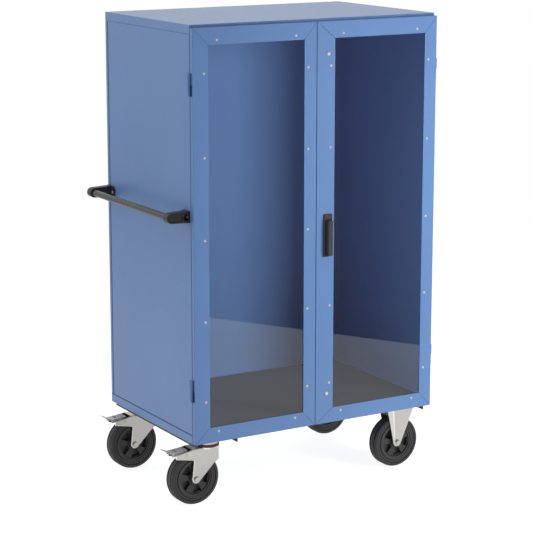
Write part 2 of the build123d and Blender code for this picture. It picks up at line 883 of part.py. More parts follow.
def castor_plate(x, y):
    """Flat plate with rounded corners and four bolt holes."""
    plate = block(
        (x - plate_reach_x, x + plate_reach_x),
        (y - plate_reach_y, y + plate_reach_y),
        (plate_bottom, castor_height),
    )
    plate = fillet(plate.edges().filter_by(Axis.Z), plate_corner_radius)
    for bolt_x, bolt_y in castor_bolt_points(x, y):
        plate -= drum_z(
            castor_bolt_radius + castor_bolt_clearance,
            bolt_x,
            bolt_y,
            (plate_bottom - plate_thickness, castor_height + plate_thickness),
        )
    return plate


def swivel_top_plate(y):
    """Plate of a swivelling castor with its pressed race, bored for the kingpin."""
    middle = Pos(kingpin_x, y, (race_bottom + plate_bottom) / 2)
    race = middle * Cone(race_radius, race_top_radius, race_height)
    bore = drum_z(kingpin_radius, kingpin_x, y, (race_bottom, castor_height))
    return castor_plate(kingpin_x, y) + race - bore


def ring(outer, inner, x, y, z):
    """Flat ring about a vertical axis."""
    return drum_z(outer, x, y, z) - drum_z(inner, x, y, z)


def swivel_seal(y):
    """Ring that closes the swivel head."""
    return ring(seal_radius, seal_inner_radius, kingpin_x, y, (seal_bottom, race_bottom))


def swivel_ball_race(y):
    """Ring of balls and cage under the plate's race."""
    inner = ball_race_radius - ball_race_wall
    return ring(ball_race_radius, inner, kingpin_x, y, (seal_bottom, race_bottom))


def kingpin(y):
    """Pin through the swivel head, with the collar that carries the fork."""
    collar_top = crown_bottom - swivel_gap
    collar_z = (collar_top - kingpin_collar_height, collar_top)
    shank = drum_z(kingpin_radius, kingpin_x, y, (collar_z[0], castor_height))
    return shank + drum_z(kingpin_collar_radius, kingpin_x, y, collar_z)


def rounded_at(outline, x, z, radius):
    """The outline with the corner nearest to a point rounded."""
    return fillet(outline.vertices().sort_by_distance((x, z, 0))[0], radius)


def swivel_leg_outline():
    """Side of the swivelling fork: a leg to the axle and a tail that carries the pedal."""
    front = (kingpin_x + leg_front_top, crown_top)
    knee = (kingpin_x + leg_knee_reach, crown_top - leg_knee_drop)
    inner = (swivel_wheel_x - leg_rear_reach, crown_top - leg_rear_drop)
    inner_top = (swivel_wheel_x - leg_rear_reach, crown_top)
    tail_bottom = (swivel_wheel_x - tail_reach, crown_top - tail_bottom_drop)
    tail_top = (swivel_wheel_x - tail_reach, crown_top - tail_top_drop)
    tail_root = (swivel_wheel_x - tail_root_reach, crown_top)
    end = Pos(swivel_wheel_x, wheel_radius) * Circle(fork_end_radius)
    leg = make_hull(Polyline(inner, inner_top, front, knee).edges() + end.edges())
    tail = make_face(Polyline(inner, tail_bottom, tail_top, tail_root, front, knee, close=True))
    outline = rounded_at(leg + tail, *knee, leg_knee_round)
    outline = rounded_at(outline, *inner, leg_corner_round)
    outline = rounded_at(outline, *tail_bottom, tail_corner_round)
    return rounded_at(outline, *tail_top, tail_corner_round)


def leg_holes(radius, x, y, z):
    """Drill through both legs of a fork."""
    reach = fork_outer + fork_sheet
    return drum_y(radius, x, (y - reach, y + reach), z)


def both_legs(outline, y):
    """A fork's two legs, each rounded along its outer edges."""
    legs = []
    for side, outer_face in ((-1, 0), (1, -1)):
        leg = plate_xz(outline, sorted((y + side * fork_gap / 2, y + side * fork_outer)))
        outer_edges = leg.edges().group_by(Axis.Y)[outer_face]
        legs.append(fillet(outer_edges, fork_edge_round))
    return legs


def fork_front_plan(radius, half):
    """Plan of a fork's round front, out to a radius from the kingpin and to a half width."""
    corner = sqrt(radius**2 - half**2)
    root = fork_front_root
    sides = Polyline((corner, half), (root, half), (root, -half), (corner, -half))
    front = ThreePointArc((corner, -half), (radius, 0), (corner, half))
    return make_face(sides.edges() + front.edges()), corner


def fork_front(y):
    """Rounded wall that joins the legs in front, its lower edge rising forward."""
    outer, outer_corner = fork_front_plan(crown_radius, fork_outer)
    inner, inner_corner = fork_front_plan(crown_radius - fork_sheet, fork_gap / 2)
    for end in (-1, 1):
        outer = rounded_at(outer, outer_corner, end * fork_outer, fork_front_round)
        inner = rounded_at(inner, inner_corner, end * fork_gap / 2, fork_front_round - fork_sheet)
    bottom = crown_top - fork_front_root_drop
    wall = Pos(kingpin_x, y, bottom) * extrude(outer - inner, crown_top - bottom)
    root_x = kingpin_x + fork_front_root
    front_x = kingpin_x + crown_radius
    side = make_face(
        Polyline(
            (root_x, bottom),
            (front_x, crown_top - fork_front_drop),
            (front_x, crown_top),
            (root_x, crown_top),
            close=True,
        )
    )
    return wall & plate_xz(side, (y - fork_outer, y + fork_outer))


def swivel_fork(y):
    """Pressed fork that turns under the swivel head."""
    legs = both_legs(swivel_leg_outline(), y)
    crown_z = (crown_bottom, crown_top)
    crown = drum_z(crown_radius, kingpin_x, y, crown_z)
    bridge_x = (swivel_wheel_x - tail_root_reach, kingpin_x)
    bridge = block(bridge_x, (y - fork_gap / 2, y + fork_gap / 2), crown_z)
    fork = legs[0] + legs[1] + crown + bridge + fork_front(y)
    bore_z = (crown_bottom - crown_sheet, crown_top + crown_sheet)
    fork -= drum_z(kingpin_radius + kingpin_clearance, kingpin_x, y, bore_z)
    fork -= leg_holes(pedal_pin_radius + pedal_pin_clearance, pedal_pivot_x, y, pedal_pivot_z)
    return fork - leg_holes(axle_radius + axle_hole_clearance, swivel_wheel_x, y, wheel_radius)


def fixed_fork(y):
    """Fork with two tapering legs under a plate of its own."""
    plate_x = (fixed_plate_x - plate_reach_x, fixed_plate_x + plate_reach_x)
    top = Line((plate_x[0], plate_bottom), (plate_x[1], plate_bottom))
    end = Pos(fixed_castor_x, wheel_radius) * Circle(fork_end_radius)
    legs = both_legs(make_hull(top.edges() + end.edges()), y)
    fork = castor_plate(fixed_plate_x, y) + legs[0] + legs[1]
    return fork - leg_holes(axle_radius + axle_hole_clearance, fixed_castor_x, y, wheel_radius)


def axle(x, y):
    """Bolt through a fork and its wheel, with its nut."""
    end = hexagon(axle_head_flats, axle_head_height)
    head = Pos(x, y - fork_outer, wheel_radius) * Rot(90, 0, 0) * end
    nut = Pos(x, y + fork_outer, wheel_radius) * Rot(-90, 0, 0) * end
    return head + drum_y(axle_radius, x, (y - fork_outer, y + fork_outer), wheel_radius) + nut


def tyre(x, y):
    """Solid tyre with grooves round its tread and a shallow ring on each side."""
    width = (y - tyre_width / 2, y + tyre_width / 2)
    body = drum_y(wheel_radius, x, width, wheel_radius)
    body = fillet(body.edges().filter_by(GeomType.CIRCLE), tyre_round)
    body -= drum_y(rim_radius + rim_clearance, x, width, wheel_radius)
    for offset in (-tyre_groove_spacing / 2, tyre_groove_spacing / 2):
        groove_y = (y + offset - tyre_groove_width / 2, y + offset + tyre_groove_width / 2)
        groove = drum_y(wheel_radius + tyre_groove_depth, x, groove_y, wheel_radius)
        body -= groove - drum_y(wheel_radius - tyre_groove_depth, x, groove_y, wheel_radius)
    for side in (-1, 1):
        face = y + side * tyre_width / 2
        ring_y = sorted((face - side * tyre_ring_depth, face + side * tyre_ring_depth))
        recess = drum_y(wheel_radius - tyre_ring_margin, x, ring_y, wheel_radius)
        body -= recess - drum_y(rim_radius + tyre_bead, x, ring_y, wheel_radius)
    return body


def rim_pocket():
    """Trapezoid between two spokes, pointing along +x."""
    half = radians(rim_pocket_angle / 2)
    inner_radius = hub_radius + rim_pocket_hub_gap
    outer_radius = rim_radius - rim_flange - rim_pocket_margin
    inner = (inner_radius * cos(half), inner_radius * sin(half))
    outer = (outer_radius * cos(half), outer_radius * sin(half))
    face = make_face(Polyline(inner, outer, (outer[0], -outer[1]), (inner[0], -inner[1]), close=True))
    return fillet(face.vertices(), rim_pocket_round)


def rim(x, y):
    """Moulded rim: hub, web, flange and spokes, with a pocket between spokes on each side."""
    width = (y - rim_width / 2, y + rim_width / 2)
    hub_y = (y - fork_gap / 2 + hub_side_gap, y + fork_gap / 2 - hub_side_gap)
    body = drum_y(rim_radius, x, width, wheel_radius)
    for side in (-1, 1):
        face = y + side * rim_width / 2
        recess_y = sorted((face - side * rim_face_recess, face + side * rim_face_recess))
        body -= drum_y(rim_radius - rim_flange, x, recess_y, wheel_radius)
        pocket_y = sorted((y + side * rim_web / 2, face + side * rim_face_recess))
        for i in range(rim_pocket_count):
            turned = Rot(0, 0, rim_pocket_turn + 360 / rim_pocket_count * i) * rim_pocket()
            body -= plate_xz(Pos(x, wheel_radius) * turned, pocket_y)
    body += drum_y(hub_radius, x, hub_y, wheel_radius)
    return body - drum_y(bush_radius + rim_clearance, x, hub_y, wheel_radius)


def wheel_bush(x, y):
    """Bearing sleeve in the hub that runs on the axle."""
    length = (y - fork_gap / 2 + bush_side_gap, y + fork_gap / 2 - bush_side_gap)
    sleeve = drum_y(bush_radius, x, length, wheel_radius)
    return sleeve - drum_y(axle_radius + axle_clearance, x, length, wheel_radius)


def pedal_strip(start, end, y, depth):
    """Flat strip of the pedal between two points of its side view."""
    outline = make_face(
        Polyline(start, end, (end[0], end[1] - depth), (start[0], start[1] - depth), close=True)
    )
    return plate_xz(outline, y)


def on_pedal(reach):
    """Point on the flat of the pedal, in side view, at a reach behind the axle."""
    slope = pedal_end_drop / (pedal_end_reach - pedal_root_reach)
    return (swivel_wheel_x - reach, crown_top - slope * (reach - pedal_root_reach))


def brake_pedal(y):
    """Pedal with side skirts, slots and a turned-up tip, a pivot pin and a shoe above the tyre."""
    root = on_pedal(pedal_root_reach)
    end = on_pedal(pedal_end_reach)
    tip = (swivel_wheel_x - pedal_tip_reach, crown_top + pedal_tip_rise)
    wide = (y - pedal_width / 2, y + pedal_width / 2)
    pedal = pedal_strip(root, end, wide, pedal_sheet) + pedal_strip(end, tip, wide, pedal_sheet)
    for slot in range(pedal_slot_count):
        slot_end = root[0] - pedal_slot_gap - slot * (pedal_slot_length + pedal_slot_gap)
        pedal -= block(
            (slot_end - pedal_slot_length, slot_end),
            (wide[0] + pedal_slot_side, wide[1] - pedal_slot_side),
            (end[1] - pedal_sheet, root[1] + pedal_sheet),
        )
    for side in (-1, 1):
        edge = y + side * pedal_width / 2
        pedal += pedal_strip(root, end, sorted((edge, edge - side * pedal_sheet)), pedal_skirt)
        ear = Pos(pedal_pivot_x, pedal_pivot_z) * Circle(pedal_ear_radius)
        pedal += plate_xz(ear, sorted((edge, edge - side * pedal_sheet)))
    pedal += drum_y(pedal_pin_radius, pedal_pivot_x, (y - fork_outer, y + fork_outer), pedal_pivot_z)
    shoe = pedal_strip(
        on_pedal(shoe_reach),
        on_pedal(shoe_reach + shoe_length),
        (wide[0] + shoe_side_inset, wide[1] - shoe_side_inset),
        crown_top - wheel_radius,
    )
    pivot = Pos(pedal_pivot_x, y, pedal_pivot_z)
    tread = drum_y(wheel_radius + shoe_touch_gap, swivel_wheel_x, wide, wheel_radius)
    return pedal + (shoe - pivot * Rot(0, pedal_press_angle, 0) * pivot.inverse() * tread)


def door_nodes(nodes, name, door_x, window_x, side):
    """Frame pieces, pane and rivets of one door."""
    with_lock = side > 0
    points = rivet_points(window_x, with_lock)
    frame = hinge_cut(door_frame(door_x, window_x), side)
    if with_lock:
        frame = lock_cut(frame)
    pieces = frame_pieces(drilled(frame, points), window_x)
    near, far = ("left", "right") if side < 0 else ("right", "left")
    nodes[f"{name}_hinge_stile"] = pieces[near]
    nodes[f"{name}_meeting_stile"] = pieces[far]
    nodes[f"{name}_top_rail"] = pieces["top"]
    nodes[f"{name}_bottom_rail"] = pieces["bottom"]
    nodes[f"{name}_pane"] = drilled(pane(window_x), points)
    nodes[f"{name}_pane_rivets"] = group(rivet(x, z) for x, z in points)


def wheel_nodes(nodes, place, x, y):
    """Tyre, rim and bush of one wheel."""
    nodes[f"tyre_{place}"] = tyre(x, y)
    nodes[f"rim_{place}"] = rim(x, y)
    nodes[f"wheel_bush_{place}"] = wheel_bush(x, y)


def build():
    """Every named piece, in the frame that the sizes are given in."""
    ys = castor_ys.values()
    plate_xs = (kingpin_x, fixed_plate_x)
    bolt_points = [point for x in plate_xs for y in ys for point in castor_bolt_points(x, y)]
    cabinet_leaves = [hinge_leaf(bottom, False) for bottom in hinge_bottoms]
    nodes = {
        "castor_beams": group([castor_beam(-beam_x, kingpin_x), castor_beam(beam_x, fixed_plate_x)]),
        "bottom_tray": bottom_tray(),
        "floor_board": floor_board(),
        "side_panel_left": screw_drilled(side_panel()),
        "side_panel_right": mirrored(side_panel()),
        "back_panel": back_panel(),
        "lid": lid(),
        "push_bar": push_bar(),
        "push_bar_brackets": group([push_bar_bracket(), mirror(push_bar_bracket(), about=Plane.XZ)]),
        "push_bar_screws": group(push_bar_screw(y) for y in all_screw_ys()),
        "cabinet_hinge_leaves": group(both_sides(cabinet_leaves)),
        "hinge_pins": group(both_sides([hinge_pin(bottom) for bottom in hinge_bottoms])),
        "door_catch_magnet": door_catch_magnet(),
        "castor_bolts": group(castor_bolt(x, y) for x, y in bolt_points),
        "swivel_top_plates": group(swivel_top_plate(y) for y in ys),
        "swivel_seals": group(swivel_seal(y) for y in ys),
        "swivel_ball_races": group(swivel_ball_race(y) for y in ys),
        "kingpins": group(kingpin(y) for y in ys),
        "fixed_forks": group(fixed_fork(y) for y in ys),
        "fixed_axles": group(axle(fixed_castor_x, y) for y in ys),
        "left_door_hinge_leaves": group(door_leaves()),
        "right_door_hinge_leaves": group(mirrored(leaf) for leaf in door_leaves()),
        "door_catch_plate": door_catch_plate(),
        "lock_base": lock_base(),
        "lock_handle": lock_handle(),
        "lock_cam": lock_cam(),
        "lock_rod_top": lock_rod(1),
        "lock_rod_bottom": lock_rod(-1),
        "rod_guides": group(rod_guide(level) for level in guide_levels),
        "rod_guide_bolts": group(rod_guide_bolt(level) for level in guide_levels),
    }
    door_nodes(nodes, "left", left_door_x, left_window_x, -1)
    door_nodes(nodes, "right", right_door_x, right_window_x, 1)
    for end, y in castor_ys.items():
        nodes[f"swivel_fork_{end}"] = swivel_fork(y)
        nodes[f"swivel_axle_{end}"] = axle(swivel_wheel_x, y)
        nodes[f"brake_pedal_{end}"] = brake_pedal(y)
        wheel_nodes(nodes, f"{end}_left", swivel_wheel_x, y)
        wheel_nodes(nodes, f"{end}_right", fixed_castor_x, y)
    return nodes


def main():
    os.makedirs("parts", exist_ok=True)
    to_origin = Pos(-origin_x, -origin_y, 0)
    for name, part in build().items():
        export_step(to_origin * part, os.path.join("parts", f"{name}.step"))


if __name__ == "__main__":
    main()
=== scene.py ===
import json
import math

import bmesh
import bpy
from mathutils import Color, Matrix, Vector


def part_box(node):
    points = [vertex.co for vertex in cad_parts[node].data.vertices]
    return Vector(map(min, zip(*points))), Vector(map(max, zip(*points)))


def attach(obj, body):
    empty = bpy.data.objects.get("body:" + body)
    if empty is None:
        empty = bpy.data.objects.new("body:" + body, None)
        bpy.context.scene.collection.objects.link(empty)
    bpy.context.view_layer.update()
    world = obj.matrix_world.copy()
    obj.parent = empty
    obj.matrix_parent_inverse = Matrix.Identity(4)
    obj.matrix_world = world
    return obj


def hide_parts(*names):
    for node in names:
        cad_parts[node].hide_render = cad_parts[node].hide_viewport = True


# Looks of the cabinet trolley: its finishes, a few pieces that are finer than its solids, and the floor,
# surroundings, lamps and camera. Metres and degrees, in the part's own frame.

# Camera: it looks down on the trolley from the front left
camera_place = (-3.6875, -6.2475, 2.3663)
camera_yaw = 30.65
camera_pitch = 12.1
camera_lens = 129.73
camera_sensor = 36.0

# Floor: a pale sheet turned with the camera, which ends to the right of the trolley
floor_right = 2.4
floor_reach = 14.0
floor_colour = (0.4, 0.4, 0.4)
floor_glow = 0.86
floor_far_glow = 1.0
floor_bounce = 0.55
# In mirrors the floor glows less under the trolley, out to floor_shade: a painted shadow
floor_gloss_painted_shadow = 0.72
floor_gloss_near = 1.0
floor_gloss_far = 0.6
floor_shade = (0.55, 0.75)
floor_fade = (2.2, 6.0)

# Surroundings: a bright backdrop behind the trolley and a dim room in front of it
backdrop_toward = (-0.45, 0.85, 0.3)
backdrop_spread = (-0.25, 0.35)
backdrop_colour = (1.0, 1.0, 1.0)
backdrop_light = 0.92
backdrop_gloss = 1.0
room_colour = (1.0, 0.8, 0.88)
room_light = 0.08
room_gloss = 0.2

# Light paths: a ray of fewer mirrored bounces than this hasn't been mirrored
mirrored_limit = 0.5

# Dark strips in the joints between the panels: painted shade along the joints' grooves
upright_shade_half_width = 0.0042
deck_shade_half_width = 0.0028
shade_strip_edge_depth = 0.00005
shade_strip_height = 0.0003
back_shade_half_width = 0.002
back_shade_depth = 0.0006
shade_strip_columns = 8
shade_strip_end_gap = 0.0025

# Pressed legs of the fixed forks. Their flat backs are leg_inner from the wheel's middle. The bend along the
# left edge rises with leg_slope and levels out from leg_bend_start to leg_bend_end, in widths of the bend.
# The rows stop leg_end_turn round the end, where they still have a width.
leg_inner = 0.029
leg_lip = 0.001
leg_end_radius = 0.017
leg_slope = 0.34
leg_left_bend_top = 0.026
leg_left_bend_end = 0.007
leg_right_bend = 0.005
leg_bend_start = 0.75
leg_bend_end = 1.25
leg_rows = 26
leg_end_rows = 7
leg_columns = 36
leg_end_turn = 88.0
fork_plate_thickness = 0.004
fork_plate_corner = 0.01

# Clear panes, a hair's breadth behind the frames
pane_gap = 0.0003
pane_corner = 0.006
pane_edge = 0.0006
pane_edge_steps = 2
round_profile = 0.5

# Round corners of the panes and of the forks' plates
plate_corner_steps = 6

# Noise of the finishes: nearly all of it lies between these values
noise_low = 0.3
noise_high = 0.7

# Colours: the highest screen value, and white as a shader takes it
screen_white = 255
white = (1.0, 1.0, 1.0, 1.0)

# Lamps, with their power in watts
lamps = {
    "key": {
        "place": (1.26, -2.2, 1.3),
        "aim": (0.15, -0.3, 1.0),
        "width": 0.72,
        "height": 1.7,
        "power": 46.0,
    },
    "top": {
        "place": (-0.3, 0.2, 4.6),
        "aim": (0.0, 0.0, 1.7),
        "width": 3.0,
        "height": 3.0,
        "power": 8.0,
    },
}

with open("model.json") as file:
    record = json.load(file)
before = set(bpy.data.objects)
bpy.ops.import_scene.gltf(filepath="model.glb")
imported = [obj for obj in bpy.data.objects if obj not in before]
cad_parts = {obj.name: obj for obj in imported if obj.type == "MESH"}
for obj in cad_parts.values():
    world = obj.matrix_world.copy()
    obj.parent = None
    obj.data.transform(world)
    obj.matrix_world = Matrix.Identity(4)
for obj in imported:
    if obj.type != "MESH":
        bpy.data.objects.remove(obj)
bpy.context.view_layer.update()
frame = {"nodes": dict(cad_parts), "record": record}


# Shader helpers


def reckoned(tree, operation, *sources):
    """Result of a Math node on other nodes' outputs."""
    node = tree.nodes.new("ShaderNodeMath")
    node.operation = operation
    for source, socket in zip(sources, node.inputs):
        tree.links.new(source, socket)
    return node.outputs["Value"]


def faded(tree, value, limits):
    """Smooth step from zero to one between two limits of a value."""
    node = tree.nodes.new("ShaderNodeMapRange")
    node.interpolation_type = "SMOOTHSTEP"
    node.inputs["From Min"].default_value, node.inputs["From Max"].default_value = limits
    tree.links.new(value, node.inputs["Value"])
    return node.outputs["Result"]


def mixed(tree, factor, first, second):
    """Mix of two shaders."""
    mix = tree.nodes.new("ShaderNodeMixShader")
    for source, socket in zip((factor, first, second), mix.inputs):
        tree.links.new(source, socket)
    return mix.outputs["Shader"]


def srgb(red, green, blue):
    """Colour from screen values, as the shader's linear light."""
    screen = Color((red, green, blue)) / screen_white
    return (*screen.from_srgb_to_scene_linear(), 1.0)


class Shader:
    """A material with one Principled shader: its plain colour and gloss, and short calls that vary them."""

    def __init__(self, name, colour, roughness, metallic=0.0):
        self.material = bpy.data.materials.new(name)
        self.material.use_nodes = True
        self.nodes = self.material.node_tree.nodes
        self.links = self.material.node_tree.links
        self.surface = self.nodes["Principled BSDF"]
        self.surface.inputs["Base Color"].default_value = colour
        self.surface.inputs["Roughness"].default_value = roughness
        self.surface.inputs["Metallic"].default_value = metallic
        coordinates = self.nodes.new("ShaderNodeTexCoord")
        self.place = coordinates.outputs["Object"]
        self.place_in_box = coordinates.outputs["Generated"]
        self.normal = coordinates.outputs["Normal"]

    def stretched(self, scale):
        """The surface's place, stretched along the axes."""
        mapping = self.nodes.new("ShaderNodeMapping")
        mapping.inputs["Scale"].default_value = scale
        self.links.new(self.place, mapping.inputs["Vector"])
        return mapping.outputs["Vector"]

    def noise(self, waves, detail, stretch=None):
        """Noise of that many waves per metre."""
        texture = self.nodes.new("ShaderNodeTexNoise")
        texture.inputs["Scale"].default_value = waves
        texture.inputs["Detail"].default_value = detail
        self.links.new(self.stretched(stretch) if stretch else self.place, texture.inputs["Vector"])
        return texture.outputs["Fac"]

    def ranged(self, value, low, high):
        """Noise, spread between two limits."""
        spread = self.nodes.new("ShaderNodeMapRange")
        spread.inputs["From Min"].default_value = noise_low
        spread.inputs["From Max"].default_value = noise_high
        spread.inputs["To Min"].default_value = low
        spread.inputs["To Max"].default_value = high
        self.links.new(value, spread.inputs["Value"])
        return spread.outputs["Result"]

    def ramp(self, value, stops):
        """Colour that goes through stops, each a value and a colour."""
        node = self.nodes.new("ShaderNodeValToRGB")
        elements = node.color_ramp.elements
        elements[0].position, elements[0].color = stops[0]
        elements[1].position, elements[1].color = stops[-1]
        for place, colour in stops[1:-1]:
            elements.new(place).color = colour
        self.links.new(value, node.inputs["Fac"])
        return node.outputs["Color"]

    def tint(self, value, low, high):
        """Colour that goes from one to another with a noise."""
        colour = self.ramp(value, ((noise_low, low), (noise_high, high)))
        self.links.new(colour, self.surface.inputs["Base Color"])

    def grained(self, colour, grain, dark):
        """Colour of the surface, darkened by a grain."""
        both = self.nodes.new("ShaderNodeVectorMath")
        both.operation = "MULTIPLY"
        self.links.new(colour, both.inputs[0])
        self.links.new(self.ramp(grain, ((noise_low, dark), (noise_high, white))), both.inputs[1])
        self.links.new(both.outputs["Vector"], self.surface.inputs["Base Color"])

    def faced(self, stops, grain, dark):
        """Colour by how squarely the surface faces the piece's own front or back, with a grain; it paints
        light and shade by which way the surface turns.
        """
        facing = self.nodes.new("ShaderNodeVectorMath")
        facing.operation = "DOT_PRODUCT"
        facing.inputs[1].default_value = (0.0, 1.0, 0.0)
        self.links.new(self.normal, facing.inputs[0])
        either = reckoned(self.material.node_tree, "ABSOLUTE", facing.outputs["Value"])
        self.grained(self.ramp(either, stops), grain, dark)

    def rings(self, stops, grain, dark):
        """Colour by the share of the way from a wheel's axle to its edge, with a grain that darkens it."""
        # The box's own 0 to 1 becomes -1 to 1 across the wheel, and its thickness is left out
        centred = self.nodes.new("ShaderNodeMapping")
        centred.inputs["Location"].default_value = (-1.0, 0.0, -1.0)
        centred.inputs["Scale"].default_value = (2.0, 0.0, 2.0)
        self.links.new(self.place_in_box, centred.inputs["Vector"])
        reach = self.nodes.new("ShaderNodeVectorMath")
        reach.operation = "LENGTH"
        self.links.new(centred.outputs["Vector"], reach.inputs[0])
        self.grained(self.ramp(reach.outputs["Value"], stops), grain, dark)

    def gloss(self, value, low, high):
        """Roughness that varies over the surface."""
        self.links.new(self.ranged(value, low, high), self.surface.inputs["Roughness"])

    def bump(self, value, strength, depth):
        """Fine relief."""
        relief = self.nodes.new("ShaderNodeBump")
        relief.inputs["Strength"].default_value = strength
        relief.inputs["Distance"].default_value = depth
        self.links.new(value, relief.inputs["Height"])
        self.links.new(relief.outputs["Normal"], self.surface.inputs["Normal"])


# Finishes


def blue_paint():
    """Powder coat: even blue with a fine orange peel and a soft sheen."""
    shader = Shader("blue_paint", srgb(104, 141, 194), roughness=0.36)
    shader.tint(shader.noise(waves=2.2, detail=3.0), srgb(102, 139, 192), srgb(107, 144, 197))
    shader.gloss(shader.noise(waves=60.0, detail=3.0), low=0.32, high=0.4)
    shader.bump(shader.noise(waves=620.0, detail=3.0), strength=0.12, depth=0.0004)
    return shader.material


def grey_paint():
    """Dark paint on the beams."""
    shader = Shader("grey_paint", srgb(72, 70, 64), roughness=0.5)
    shader.tint(shader.noise(waves=9.0, detail=4.0), srgb(66, 64, 59), srgb(78, 76, 70))
    shader.gloss(shader.noise(waves=40.0, detail=3.0), low=0.45, high=0.6)
    shader.bump(shader.noise(waves=500.0, detail=3.0), strength=0.12, depth=0.0004)
    return shader.material


def grey_board():
    """Dark board with a fine facing."""
    shader = Shader("grey_board", srgb(58, 58, 60), roughness=0.6)
    streaks = shader.noise(waves=180.0, detail=6.0, stretch=(1.0, 4.0, 1.0))
    shader.tint(streaks, srgb(52, 52, 54), srgb(64, 64, 66))
    shader.gloss(shader.noise(waves=90.0, detail=4.0), low=0.5, high=0.68)
    shader.bump(shader.noise(waves=420.0, detail=4.0), strength=0.2, depth=0.0005)
    return shader.material


def black_paint():
    """Satin black powder coat on the push bar."""
    shader = Shader("black_paint", srgb(50, 50, 49), roughness=0.42)
    shader.tint(shader.noise(waves=30.0, detail=4.0), srgb(46, 46, 45), srgb(55, 55, 54))
    shader.gloss(shader.noise(waves=120.0, detail=3.0), low=0.28, high=0.38)
    shader.bump(shader.noise(waves=900.0, detail=3.0), strength=0.15, depth=0.0003)
    return shader.material


def black_plastic():
    """Moulded plastic with a fine spark grain."""
    shader = Shader("black_plastic", srgb(38, 38, 38), roughness=0.45)
    shader.tint(shader.noise(waves=60.0, detail=4.0), srgb(34, 34, 34), srgb(43, 43, 43))
    shader.gloss(shader.noise(waves=300.0, detail=3.0), low=0.38, high=0.52)
    shader.bump(shader.noise(waves=1500.0, detail=4.0), strength=0.25, depth=0.0003)
    return shader.material


def lock_plastic():
    """Dark grey moulded plastic of the lock, paler than the push bar's brackets."""
    shader = Shader("lock_plastic", srgb(66, 65, 62), roughness=0.42)
    shader.tint(shader.noise(waves=80.0, detail=4.0), srgb(61, 60, 57), srgb(71, 70, 67))
    shader.gloss(shader.noise(waves=300.0, detail=3.0), low=0.36, high=0.48)
    shader.bump(shader.noise(waves=1500.0, detail=4.0), strength=0.2, depth=0.0003)
    return shader.material


def painted_joint_shade():
    """Dark blue of the strips in the joints between panels: painted shade in the joints' grooves."""
    shader = Shader("painted_joint_shade", srgb(40, 72, 134), roughness=0.7)
    shader.tint(shader.noise(waves=40.0, detail=4.0), srgb(36, 67, 127), srgb(44, 77, 141))
    shader.gloss(shader.noise(waves=200.0, detail=3.0), low=0.6, high=0.8)
    shader.bump(shader.noise(waves=900.0, detail=3.0), strength=0.2, depth=0.0003)
    return shader.material


def zinc_plate(name, bend_side, highlight_start, highlight_end, bend_flat):
    """Bright zinc plate over pressed steel, with a painted highlight where a sheet bends away from its flat
    face.
    """
    shader = Shader(name, srgb(208, 207, 202), roughness=0.32, metallic=1.0)
    # Painted highlight: the colour is brightest where the surface turns partway from the piece's front or
    # back
    stops = (
        (0.0, srgb(214, 213, 208)),
        (bend_side, srgb(224, 223, 219)),
        (highlight_start, srgb(254, 254, 253)),
        (highlight_end, srgb(254, 254, 253)),
        (bend_flat, srgb(207, 206, 201)),
        (1.0, srgb(207, 206, 201)),
    )
    shader.faced(stops, shader.noise(waves=35.0, detail=5.0), dark=srgb(250, 250, 250))
    streaks = shader.noise(waves=240.0, detail=4.0, stretch=(1.0, 1.0, 3.0))
    shader.gloss(streaks, low=0.3, high=0.34)
    shader.bump(shader.noise(waves=700.0, detail=4.0), strength=0.03, depth=0.0001)
    return shader.material


def bright_steel():
    """Bright heads of the rivets and bolts."""
    shader = Shader("bright_steel", srgb(232, 228, 214), roughness=0.35, metallic=0.35)
    shader.tint(shader.noise(waves=400.0, detail=3.0), srgb(224, 219, 204), srgb(240, 236, 224))
    shader.gloss(shader.noise(waves=900.0, detail=3.0), low=0.28, high=0.42)
    shader.bump(shader.noise(waves=1800.0, detail=3.0), strength=0.08, depth=0.0001)
    return shader.material


def dull_steel():
    """Oiled heads of the screws in the push bar's brackets."""
    shader = Shader("dull_steel", srgb(164, 162, 157), roughness=0.5, metallic=0.2)
    shader.tint(shader.noise(waves=300.0, detail=3.0), srgb(154, 152, 147), srgb(174, 172, 167))
    shader.gloss(shader.noise(waves=700.0, detail=3.0), low=0.42, high=0.56)
    shader.bump(shader.noise(waves=1800.0, detail=3.0), strength=0.08, depth=0.0001)
    return shader.material


def pedal_steel():
    """Duller zinc plate of the pedals, scuffed by shoes."""
    shader = Shader("pedal_steel", srgb(200, 199, 197), roughness=0.45, metallic=0.3)
    shader.tint(shader.noise(waves=60.0, detail=5.0), srgb(186, 185, 184), srgb(212, 211, 208))
    shader.gloss(shader.noise(waves=260.0, detail=4.0), low=0.38, high=0.52)
    shader.bump(shader.noise(waves=900.0, detail=4.0), strength=0.08, depth=0.0002)
    return shader.material


def red_seal():
    """Dark red moulded ring."""
    shader = Shader("red_seal", srgb(106, 38, 36), roughness=0.45)
    shader.tint(shader.noise(waves=80.0, detail=4.0), srgb(96, 33, 32), srgb(116, 44, 41))
    shader.gloss(shader.noise(waves=200.0, detail=3.0), low=0.38, high=0.55)
    shader.bump(shader.noise(waves=900.0, detail=3.0), strength=0.15, depth=0.0003)
    return shader.material


def black_tyre():
    """Solid rubber, matt, with a trace of dust, and on its sides rings of painted highlight with painted
    shade lines at the steps of the moulded recess.
    """
    shader = Shader("black_tyre", srgb(58, 58, 58), roughness=0.62)
    wall = srgb(60, 60, 60)
    ring_highlight = srgb(72, 72, 72)
    step_shade = srgb(26, 26, 26)
    # Rings of painted highlight, and painted shade at the two steps of the recess in the sidewall
    stops = (
        (0.68, ring_highlight),
        (0.728, ring_highlight),
        (0.738, step_shade),
        (0.756, step_shade),
        (0.768, wall),
        (0.8, ring_highlight),
        (0.842, wall),
        (0.852, step_shade),
        (0.868, step_shade),
        (0.88, ring_highlight),
        (0.93, wall),
        (1.0, wall),
    )
    shader.rings(stops, shader.noise(waves=45.0, detail=6.0), dark=srgb(236, 236, 235))
    shader.gloss(shader.noise(waves=90.0, detail=4.0), low=0.52, high=0.72)
    shader.bump(shader.noise(waves=800.0, detail=5.0), strength=0.3, depth=0.0005)
    return shader.material


